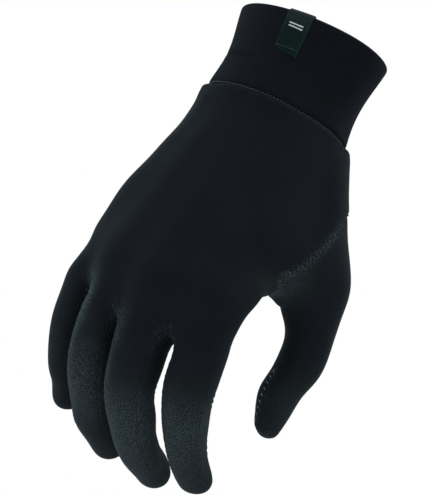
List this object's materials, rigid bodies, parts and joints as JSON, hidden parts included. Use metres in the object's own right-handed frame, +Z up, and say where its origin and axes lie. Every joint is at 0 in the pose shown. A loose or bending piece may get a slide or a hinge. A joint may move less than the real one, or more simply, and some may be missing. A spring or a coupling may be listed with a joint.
{
  "type": "thermal glove",
  "caption": "Knitted right-hand thermal glove in its worn shape, with a folded rib-knit cuff, side strips between the fingers, a set-in thumb and a loop label over the cuff's rim.",
  "frame": {"origin": "centre of the wrist opening, at the cuff's rim", "axes": "+Z up the forearm with the fingers towards -Z, the back of the hand faces -Y, the thumb is on +X"},
  "size_m": [0.1005, 0.0841, 0.1968],
  "materials": {
    "jersey": "fine black stretch jersey, brushed and matt with a soft rim sheen",
    "rib": "fine black rib knit, folded double, matt",
    "woven_label": "dark green woven ribbon, a little smoother than the knit"
  },
  "bodies": {
    "root": {"back_panel": "jersey", "palm_panel": "jersey", "fourchette_little_ring": "jersey", "fourchette_ring_middle": "jersey", "fourchette_middle_index": "jersey", "thumb_panel": "jersey", "cuff": "rib", "label": "woven_label"}
  },
  "joints": []
}
